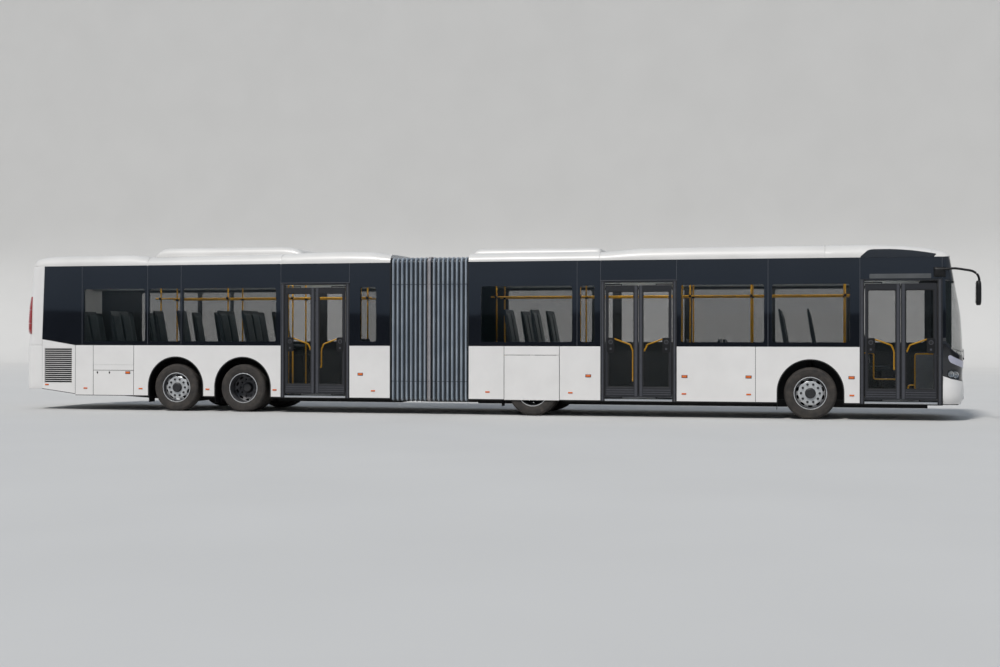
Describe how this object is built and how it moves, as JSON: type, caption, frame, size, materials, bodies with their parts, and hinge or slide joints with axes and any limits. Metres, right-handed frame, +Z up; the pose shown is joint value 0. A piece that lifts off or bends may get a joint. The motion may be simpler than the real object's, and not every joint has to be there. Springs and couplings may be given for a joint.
{
  "type": "articulated city bus",
  "caption": "Articulated low-floor city bus: two body sections on a turntable with a folding bellows, twin-leaf doors, glazed side band and seats inside.",
  "frame": {"origin": "centre of the bounding box on the ground, under the tyres", "axes": "+X forward along the bus, +Y to its left, +Z up"},
  "size_m": [18.95, 2.89, 3.3259],
  "materials": {
    "bellows_cloth": "matte",
    "charcoal": "satin",
    "chassis": "matte",
    "dark_glass": "gloss",
    "dash": "matte",
    "engine_grey": "matte",
    "floor": "matte",
    "lamp": "gloss",
    "rail_yellow": "gloss",
    "red_lamp": "gloss",
    "seat_fabric": "matte",
    "tyre": "matte",
    "white_paint": "gloss"
  },
  "bodies": {
    "front_section": {"front_floor": "floor", "front_side_right": "white_paint", "front_side_left": "white_paint", "front_roof": "white_paint", "front_mask": "white_paint", "front_pillars": "charcoal", "windscreen": "dark_glass", "front_glazing": "dark_glass", "front_seats": "seat_fabric", "front_handrails": "rail_yellow", "driver_cab": "dash", "mirrors": "charcoal", "headlamps": "lamp", "front_axles": "chassis", "turntable_lower": "chassis", "front_wheel_boxes": "floor"},
    "rear_section": {"rear_floor": "floor", "rear_side_right": "white_paint", "rear_side_left": "white_paint", "rear_roof": "white_paint", "rear_end": "white_paint", "rear_window": "dark_glass", "rear_glazing": "dark_glass", "rear_seats": "seat_fabric", "rear_handrails": "rail_yellow", "rear_axles": "chassis", "engine": "engine_grey", "tail_lamps": "red_lamp", "radiator_grille": "white_paint", "turntable_upper": "chassis", "bellows": "bellows_cloth", "rear_wheel_boxes": "floor"},
    "door_1_front_leaf": {"door_1_front_leaf": "charcoal"},
    "door_1_front_post": {"door_1_front_post": "charcoal"},
    "door_1_rear_leaf": {"door_1_rear_leaf": "charcoal"},
    "door_1_rear_post": {"door_1_rear_post": "charcoal"},
    "door_2_front_leaf": {"door_2_front_leaf": "charcoal"},
    "door_2_front_post": {"door_2_front_post": "charcoal"},
    "door_2_rear_leaf": {"door_2_rear_leaf": "charcoal"},
    "door_2_rear_post": {"door_2_rear_post": "charcoal"},
    "door_3_front_leaf": {"door_3_front_leaf": "charcoal"},
    "door_3_front_post": {"door_3_front_post": "charcoal"},
    "door_3_rear_leaf": {"door_3_rear_leaf": "charcoal"},
    "door_3_rear_post": {"door_3_rear_post": "charcoal"},
    "engine_lid": {"engine_lid": "white_paint"},
    "knuckle_1_left": {"knuckle_1_left": "chassis"},
    "knuckle_1_right": {"knuckle_1_right": "chassis"},
    "knuckle_4_left": {"knuckle_4_left": "chassis"},
    "knuckle_4_right": {"knuckle_4_right": "chassis"},
    "service_flap": {"service_flap": "white_paint"},
    "wheel_1_left": {"wheel_1_left": "tyre"},
    "wheel_1_right": {"wheel_1_right": "tyre"},
    "wheel_2_left": {"wheel_2_left": "tyre"},
    "wheel_2_right": {"wheel_2_right": "tyre"},
    "wheel_3_left": {"wheel_3_left": "tyre"},
    "wheel_3_right": {"wheel_3_right": "tyre"},
    "wheel_4_left": {"wheel_4_left": "tyre"},
    "wheel_4_right": {"wheel_4_right": "tyre"},
    "wheel_cover_left": {"wheel_cover_left": "white_paint"},
    "wheel_cover_right": {"wheel_cover_right": "white_paint"}
  },
  "joints": [
    {"name": "articulation", "type": "hinge", "parent": "front_section", "child": "rear_section", "pos_m": [-0.7275, 0, 0.28], "axis": [0, 0, 1], "range_deg": [-50, 50], "deforming": ["bellows"]},
    {"name": "knuckle_1_left_steer", "type": "hinge", "parent": "front_section", "child": "knuckle_1_left", "pos_m": [6.501, 1.04, 0.4785], "axis": [0, 0, 1], "range_deg": [-42, 42]},
    {"name": "knuckle_1_right_steer", "type": "hinge", "parent": "front_section", "child": "knuckle_1_right", "pos_m": [6.501, -1.04, 0.4785], "axis": [0, 0, 1], "range_deg": [-42, 42]},
    {"name": "knuckle_4_left_steer", "type": "hinge", "parent": "rear_section", "child": "knuckle_4_left", "pos_m": [-6.043, 1.04, 0.4785], "axis": [0, 0, 1], "range_deg": [-15, 15]},
    {"name": "knuckle_4_right_steer", "type": "hinge", "parent": "rear_section", "child": "knuckle_4_right", "pos_m": [-6.043, -1.04, 0.4785], "axis": [0, 0, 1], "range_deg": [-15, 15]},
    {"name": "wheel_1_right_spin", "type": "hinge", "parent": "knuckle_1_right", "child": "wheel_1_right", "pos_m": [6.501, -1.112, 0.4785], "axis": [0, 1, 0], "continuous": true},
    {"name": "wheel_1_left_spin", "type": "hinge", "parent": "knuckle_1_left", "child": "wheel_1_left", "pos_m": [6.501, 1.112, 0.4785], "axis": [0, 1, 0], "continuous": true},
    {"name": "wheel_2_right_spin", "type": "hinge", "parent": "front_section", "child": "wheel_2_right", "pos_m": [1.317, -0.9545, 0.4785], "axis": [0, 1, 0], "continuous": true},
    {"name": "wheel_2_left_spin", "type": "hinge", "parent": "front_section", "child": "wheel_2_left", "pos_m": [1.317, 0.9545, 0.4785], "axis": [0, 1, 0], "continuous": true},
    {"name": "wheel_3_right_spin", "type": "hinge", "parent": "rear_section", "child": "wheel_3_right", "pos_m": [-4.596, -0.9545, 0.4785], "axis": [0, 1, 0], "continuous": true},
    {"name": "wheel_3_left_spin", "type": "hinge", "parent": "rear_section", "child": "wheel_3_left", "pos_m": [-4.596, 0.9545, 0.4785], "axis": [0, 1, 0], "continuous": true},
    {"name": "wheel_4_right_spin", "type": "hinge", "parent": "knuckle_4_right", "child": "wheel_4_right", "pos_m": [-6.043, -1.112, 0.4785], "axis": [0, 1, 0], "continuous": true},
    {"name": "wheel_4_left_spin", "type": "hinge", "parent": "knuckle_4_left", "child": "wheel_4_left", "pos_m": [-6.043, 1.112, 0.4785], "axis": [0, 1, 0], "continuous": true},
    {"name": "door_1_front_post_turn", "type": "hinge", "parent": "front_section", "child": "door_1_front_post", "pos_m": [8.7505, -1.203, 1.43], "axis": [0, 0, -1], "range_deg": [0, 80]},
    {"name": "door_1_front_leaf_turn", "type": "hinge", "parent": "door_1_front_post", "child": "door_1_front_leaf", "pos_m": [8.422, -1.203, 1.43], "axis": [0, 0, -1], "range_deg": [-160, 0]},
    {"name": "door_1_rear_post_turn", "type": "hinge", "parent": "front_section", "child": "door_1_rear_post", "pos_m": [7.4365, -1.203, 1.43], "axis": [0, 0, 1], "range_deg": [0, 80]},
    {"name": "door_1_rear_leaf_turn", "type": "hinge", "parent": "door_1_rear_post", "child": "door_1_rear_leaf", "pos_m": [7.765, -1.203, 1.43], "axis": [0, 0, 1], "range_deg": [-160, 0]},
    {"name": "door_2_front_post_turn", "type": "hinge", "parent": "front_section", "child": "door_2_front_post", "pos_m": [4.0035, -1.203, 1.43], "axis": [0, 0, -1], "range_deg": [0, 80]},
    {"name": "door_2_front_leaf_turn", "type": "hinge", "parent": "door_2_front_post", "child": "door_2_front_leaf", "pos_m": [3.675, -1.203, 1.43], "axis": [0, 0, -1], "range_deg": [-160, 0]},
    {"name": "door_2_rear_post_turn", "type": "hinge", "parent": "front_section", "child": "door_2_rear_post", "pos_m": [2.6895, -1.203, 1.43], "axis": [0, 0, 1], "range_deg": [0, 80]},
    {"name": "door_2_rear_leaf_turn", "type": "hinge", "parent": "door_2_rear_post", "child": "door_2_rear_leaf", "pos_m": [3.018, -1.203, 1.43], "axis": [0, 0, 1], "range_deg": [-160, 0]},
    {"name": "door_3_front_post_turn", "type": "hinge", "parent": "rear_section", "child": "door_3_front_post", "pos_m": [-2.4105, -1.203, 1.43], "axis": [0, 0, -1], "range_deg": [0, 80]},
    {"name": "door_3_front_leaf_turn", "type": "hinge", "parent": "door_3_front_post", "child": "door_3_front_leaf", "pos_m": [-2.739, -1.203, 1.43], "axis": [0, 0, -1], "range_deg": [-160, 0]},
    {"name": "door_3_rear_post_turn", "type": "hinge", "parent": "rear_section", "child": "door_3_rear_post", "pos_m": [-3.7245, -1.203, 1.43], "axis": [0, 0, 1], "range_deg": [0, 80]},
    {"name": "door_3_rear_leaf_turn", "type": "hinge", "parent": "door_3_rear_post", "child": "door_3_rear_leaf", "pos_m": [-3.396, -1.203, 1.43], "axis": [0, 0, 1], "range_deg": [-160, 0]},
    {"name": "service_flap_turn", "type": "hinge", "parent": "rear_section", "child": "service_flap", "pos_m": [-7.4175, -1.275, 0.9297], "axis": [-1, 0, 0], "range_deg": [0, 80]},
    {"name": "engine_lid_turn", "type": "hinge", "parent": "rear_section", "child": "engine_lid", "pos_m": [-9.475, 0, 1.2897], "axis": [0, 1, 0], "range_deg": [0, 80]},
    {"name": "wheel_cover_right_turn", "type": "hinge", "parent": "front_section", "child": "wheel_cover_right", "pos_m": [1.304, -1.275, 1.1597], "axis": [-1, 0, 0], "range_deg": [0, 80]},
    {"name": "wheel_cover_left_turn", "type": "hinge", "parent": "front_section", "child": "wheel_cover_left", "pos_m": [1.304, 1.275, 1.1597], "axis": [1, 0, 0], "range_deg": [0, 80]}
  ],
  "couplings": [
    {"joint": "knuckle_1_right_steer", "follows": "knuckle_1_left_steer", "ratio": 1},
    {"joint": "knuckle_4_right_steer", "follows": "knuckle_4_left_steer", "ratio": 1},
    {"joint": "door_1_front_leaf_turn", "follows": "door_1_front_post_turn", "ratio": -2},
    {"joint": "door_1_rear_leaf_turn", "follows": "door_1_rear_post_turn", "ratio": -2},
    {"joint": "door_2_front_leaf_turn", "follows": "door_2_front_post_turn", "ratio": -2},
    {"joint": "door_2_rear_leaf_turn", "follows": "door_2_rear_post_turn", "ratio": -2},
    {"joint": "door_3_front_leaf_turn", "follows": "door_3_front_post_turn", "ratio": -2},
    {"joint": "door_3_rear_leaf_turn", "follows": "door_3_rear_post_turn", "ratio": -2}
  ]
}
